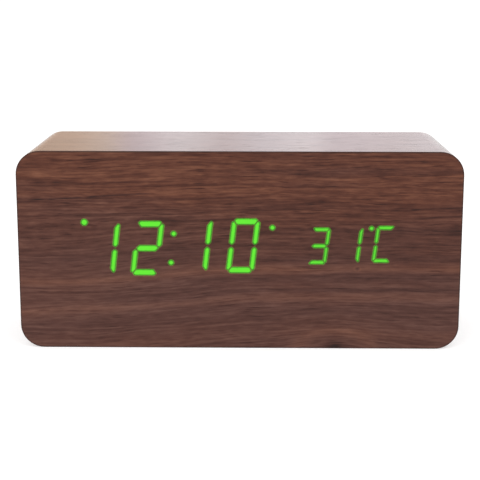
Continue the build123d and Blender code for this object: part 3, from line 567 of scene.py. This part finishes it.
def circuit(name, shift):
    """Solder mask over copper: faint traces, plated rings and a bare glass-fibre edge."""
    g = new_graph(name)
    place = g.place()
    x, _, z = g.parts(place)
    spot = g.vector(g.add(x, shift), z)
    blocks = g.cells(spot, 0.22, randomness=0.75, metric="MANHATTAN")
    rings = g.math("FRACT", g.mul(blocks, 3.4))
    traces = g.mul(g.step(rings, 0.28, 0.36), g.step(rings, 0.64, 0.56))
    holes = g.cells(spot, 0.3, randomness=0.9)
    pads = g.mul(g.step(holes, 0.16, 0.13), g.step(holes, 0.06, 0.08))
    weave = g.noise(place, 1.2, 3.0)
    colour = g.mix(g.step(weave, 0.3, 0.7), linear(12, 66, 38), linear(18, 84, 48))
    trace_green, pad_silver = linear(44, 122, 66), linear(206, 196, 160)
    colour = g.mix(g.mul(traces, 0.75), colour, trace_green)
    colour = g.mix(pads, colour, pad_silver)
    side = g.step(g.squareness(Y), 0.7, 0.4)
    glass_fibre = linear(150, 142, 84)
    colour = g.mix(side, colour, glass_fibre)
    rough = g.add(g.fused(traces, -0.05, 0.36), g.mul(side, 0.4))
    height = g.add(g.mul(traces, 0.6), g.mul(weave, 0.2))
    normal = g.bump(height, 0.4, 0.04, g.soft_edge(0.08))
    return g.surface(colour, rough, normal, IOR=1.5)


def cell_film(name, direction):
    """Printed film round a cell: a pale band at the plus end, and bare steel ends."""
    g = new_graph(name)
    place = g.place()
    low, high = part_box(name)
    plus_end = (high if direction > 0 else low)[X] * MM
    from_plus = g.mul(g.sub(plus_end, g.parts(place)[X]), direction)
    nub_length, band_start, band_end, stripe_middle, fade = 1.0, 1.4, 12.0, 13.2, 0.2
    band = g.mul(
        g.step(from_plus, band_start - fade, band_start),
        g.step(from_plus, band_end + fade, band_end),
    )
    stripe = g.hump(from_plus, stripe_middle, 0.35)
    end = g.step(g.squareness(X), 0.55, 0.8)
    nub = g.step(from_plus, nub_length + 0.15, nub_length)
    bare = g.greater(end, nub)
    scuffs = g.noise(g.stretched(place, (0.4, 3.0, 3.0)), 1.0, 4.0, 0.65)
    colour = g.mix(g.step(scuffs, 0.35, 0.75), linear(24, 82, 60), linear(34, 98, 72))
    band_grey, stripe_white = linear(172, 176, 178), linear(232, 232, 228)
    bare_steel = linear(190, 190, 188)
    colour = g.mix(band, colour, band_grey)
    colour = g.mix(stripe, colour, stripe_white)
    colour = g.mix(bare, colour, bare_steel)
    rough = g.add(g.fused(scuffs, 0.2, 0.22), g.mul(bare, 0.08))
    normal = g.bump(scuffs, 0.08, 0.03, g.soft_edge(0.1))
    metallic = g.fused(bare, 0.45, 0.5)
    return g.surface(colour, rough, normal, IOR=1.5, Metallic=metallic, Coat_Weight=0.3)


def foam(name):
    """Black closed-cell foam, with painted shade in its cell hollows."""
    g = new_graph(name)
    walls = g.step(g.cells(g.place(), 3.2), 0.1, 0.45)
    # The cell hollows are coloured darker than the walls between them: painted shade
    colour = g.mix(walls, linear(16, 16, 16), linear(48, 48, 48))
    return g.surface(colour, g.fused(walls, 0.1, 0.85), g.bump(walls, 0.7, 0.12), IOR=1.4)


def yellow_resin(name):
    """Cloudy yellow resin over a diode."""
    g = new_graph(name)
    cloud = g.noise(g.place(), 1.6, 3.0)
    colour = g.mix(g.step(cloud, 0.35, 0.65), linear(206, 182, 84), linear(236, 216, 128))
    normal = g.bump(cloud, 0.2, 0.03, g.soft_edge(0.06))
    return g.surface(colour, g.fused(cloud, 0.2, 0.22), normal, IOR=1.52)


# The nodes and their materials


def dress(node, material):
    """Gives a CAD node its material through the object's own slots."""
    for slot in nodes[node].material_slots:
        slot.link = "OBJECT"
        slot.material = material


dress("front_veneer", front_foil())
dress("wrap_veneer", wrap_foil())
dress("front_board", fibreboard("front_board", cloud_scale=0.1))
dress("case_frame", fibreboard("case_frame", cloud_scale=0.12))

bright_lens = lit_lens("lens_time", level=1.0)
for node in ("hour_bars", "minute_bars", "colon_dots", "indicator_dots"):
    dress(node, bright_lens)
small_lens = lit_lens("lens_small", level=0.9)
for node in ("temperature_bars", "unit_bars", "degree_dot"):
    dress(node, small_lens)
dress("light_gasket", foam("light_gasket"))
dress("segment_diodes", yellow_resin("segment_diodes"))
dress("main_board", circuit("main_board", shift=0.0))
dress("key_board", circuit("key_board", shift=37.0))

cover_black, reflector_white = linear(30, 30, 31), linear(236, 236, 232)
dress("rear_cover", moulded("black_texture", cover_black))
dress("battery_door", moulded(
    "door_texture", cover_black, texture_mm=0.3, depth=0.3, roughness=0.5, edge_mm=0.2, tint=1.06,
))
dress("segment_reflector", moulded(
    "reflector", reflector_white, texture_mm=0.5, depth=0.15, roughness=0.55, edge_mm=0.12, tint=0.95,
))

# Small moulded parts: colour, grain size in millimetres, grain depth, roughness and edge width
housing = (linear(36, 36, 38), 0.22, 0.2, 0.42, 0.12)
plunger = (linear(120, 34, 30), 0.3, 0.12, 0.4, 0.1)
switch = (linear(38, 38, 40), 0.25, 0.2, 0.45, 0.1)
small_parts = {
    "controller_chip": housing,
    "buzzer": housing,
    "backup_cell_holder": housing,
    "power_socket": housing,
    "chip_resistors": (linear(28, 28, 30), 0.2, 0.15, 0.35, 0.06),
    "temperature_sensor": (linear(40, 36, 34), 0.3, 0.2, 0.4, 0.05),
    "board_headers": (linear(226, 222, 204), 0.4, 0.12, 0.4, 0.12),
}
for key in ("set", "up", "down"):
    dress(f"{key}_key", key_cap(f"{key}_key"))
    small_parts[f"{key}_plunger"] = plunger
    small_parts[f"{key}_switch"] = switch
for node, recipe in small_parts.items():
    dress(node, moulded(node, *recipe))

# Bright steel parts by the axis that their drawing lines follow
steel_parts = {
    X: ("clock_crystal", "backup_cell", "backup_cell_clip", "battery_springs"),
    Y: ("board_screws", "key_board_screws", "socket_pin", "socket_leaf"),
    Z: ("sound_sensor", "positive_contact", "negative_contact", "link_contacts"),
}
bright_steel = linear(198, 198, 196)
for axis, names in steel_parts.items():
    for node in names:
        dress(node, metal(node, bright_steel, 0.28, axis))
black_steel, brass = linear(74, 74, 77), linear(206, 172, 96)
dress("cover_screws", metal("cover_screws", black_steel, 0.36, Y, edge_mm=0.1, stain=0.3))
dress("board_spacers", metal("board_spacers", brass, 0.3, Y))

# Cells lie in turn with their plus end to the right and to the left
for number, direction in ((1, 1), (2, -1), (3, 1), (4, -1)):
    node = f"battery_cell_{number}"
    dress(node, cell_film(node, direction))
for lead in ("battery_lead", "power_lead"):
    dress(f"{lead}_red", insulation(f"{lead}_red", linear(178, 34, 26)))
    dress(f"{lead}_black", insulation(f"{lead}_black", linear(34, 34, 34)))
dress("key_ribbon", insulation("key_ribbon", linear(150, 150, 150), pitch_mm=0.87))


# Floor, studio and camera


def make_floor():
    """A pale table lit from inside as well as from above, as a product table is."""
    clearance = 0.00005
    bpy.ops.mesh.primitive_plane_add(size=16, location=(0, 0, -clearance))
    floor = bpy.context.object
    floor.name = "floor"
    g = new_graph("floor_white")
    spread = g.node("ShaderNodeBsdfDiffuse", {"Color": grey(0.62)})
    inside = g.node("ShaderNodeEmission", {"Color": grey(1.0), "Strength": 0.5})
    both = g.node("ShaderNodeAddShader", {0: spread.outputs[0], 1: inside.outputs[0]})
    g.end("ShaderNodeOutputMaterial", both)
    floor.data.materials.append(g.owner)


# Backdrop that the clock's top mirrors: angle from straight behind the clock in radians, and
# colour. It is warmer at its left and brighter at its right.
BACKDROP_HALF_ANGLE = 0.25
BACKDROP = (
    (-0.25, (0.78, 0.6, 0.47)),
    (-0.175, (0.78, 0.6, 0.47)),
    (-0.14, (0.92, 0.77, 0.66)),
    (-0.12, (0.87, 0.76, 0.8)),
    (-0.07, (1.08, 1.03, 1.05)),
    (-0.025, (0.9, 0.81, 0.82)),
    (0.01, (1.03, 0.98, 1.02)),
    (0.055, (1.2, 1.14, 1.16)),
    (0.085, (0.97, 0.89, 0.93)),
    (0.14, (1.0, 0.92, 0.94)),
    (0.175, (1.14, 1.08, 1.11)),
    (0.25, (1.0, 0.96, 0.97)),
)


def make_studio():
    """Pale walls all round, with the backdrop behind the clock."""
    world = bpy.data.worlds.new("studio")
    bpy.context.scene.world = world
    g = Graph(world)
    dx, dy, dz = g.parts(g.node("ShaderNodeTexCoord").outputs["Generated"])
    azimuth = g.math("ARCTAN2", dx, dy)
    half = BACKDROP_HALF_ANGLE
    span = g.node("ShaderNodeMapRange", {"Value": azimuth, "From Min": -half, "From Max": half})
    stops = [(0.5 + 0.5 * angle / half, (*colour, 1.0)) for angle, colour in BACKDROP]
    backdrop = g.ramp(span.outputs["Result"], stops)
    # Soft upright stripes, up to 12% brighter
    stripes = g.noise(g.vector(g.mul(azimuth, 14.0), 0.0), 1.0, 2.0)
    brighter = g.mix(1.0, backdrop, grey(1.12), "MULTIPLY")
    backdrop = g.mix(g.step(stripes, 0.3, 0.75), backdrop, brighter)
    behind = g.mul(g.step(dy, 0.55, 0.9), g.step(dz, 0.75, 0.4))
    room = g.mix(g.step(dz, 0.0, 0.9), grey(0.62), grey(0.75))
    light = g.mix(behind, room, backdrop)
    lit_room = g.node("ShaderNodeBackground", {"Color": light, "Strength": 1.32})
    # Seen directly, the walls are as plain and white as the table
    plain_wall = g.node("ShaderNodeBackground", {"Color": grey(1.0), "Strength": 1.1})
    seen = g.node("ShaderNodeLightPath").outputs["Is Camera Ray"]
    inputs = {0: seen, 1: lit_room.outputs[0], 2: plain_wall.outputs[0]}
    g.end("ShaderNodeOutputWorld", g.node("ShaderNodeMixShader", inputs))


def soft_box(name, place, width, height, power):
    """A large soft lamp that is turned towards the clock."""
    lamp = bpy.data.lights.new(name, "AREA")
    lamp.shape = "RECTANGLE"
    lamp.size = width
    lamp.size_y = height
    lamp.energy = power
    holder = bpy.data.objects.new(name, lamp)
    holder.location = place
    aim = Vector((0, 0, 0.03))
    holder.rotation_euler = (aim - Vector(place)).to_track_quat("-Z", "Y").to_euler()
    bpy.context.collection.objects.link(holder)


def make_camera():
    """Camera fitted to the outline of the face and of the top in the photograph."""
    frame_pixels, focal_pixels, sensor = 480, 1019.39, 36.0
    face_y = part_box("front_veneer")[0][Y] * MM
    aside, before_face, above_table = 4.0, 334.27, 125.13
    place = Vector((aside, face_y - before_face, above_table)) / MM
    pitch, yaw, roll = 0.16976, 0.01121, 0.00277
    turned = (
        Matrix.Rotation(roll, 3, "Z")
        @ Matrix.Rotation(yaw, 3, "Y")
        @ Matrix.Rotation(pitch, 3, "X")
    )
    # The fit's axes are those of a picture: x to the right, y down and z into it
    to_picture = Matrix(((1, 0, 0), (0, 0, -1), (0, 1, 0)))
    flip = Matrix(((1, 0, 0), (0, -1, 0), (0, 0, -1)))
    direction = to_picture.transposed() @ turned.transposed() @ flip
    lens = bpy.data.cameras.new("camera")
    lens.sensor_width = sensor
    lens.lens = focal_pixels / frame_pixels * sensor
    lens.shift_y = -0.18
    lens.clip_start = 0.01
    lens.clip_end = 50
    camera = bpy.data.objects.new("camera", lens)
    camera.matrix_world = Matrix.Translation(place) @ direction.to_4x4()
    bpy.context.collection.objects.link(camera)
    bpy.context.scene.camera = camera


make_floor()
make_studio()
soft_box("box_front_left", (-0.9, -1.1, 1.2), width=1.2, height=0.9, power=9.0)
soft_box("box_front_right", (1.0, -0.9, 1.1), width=1.0, height=0.8, power=6.0)
make_camera()
bpy.context.scene.view_settings.view_transform = "Standard"
bpy.context.scene.view_settings.look = "None"
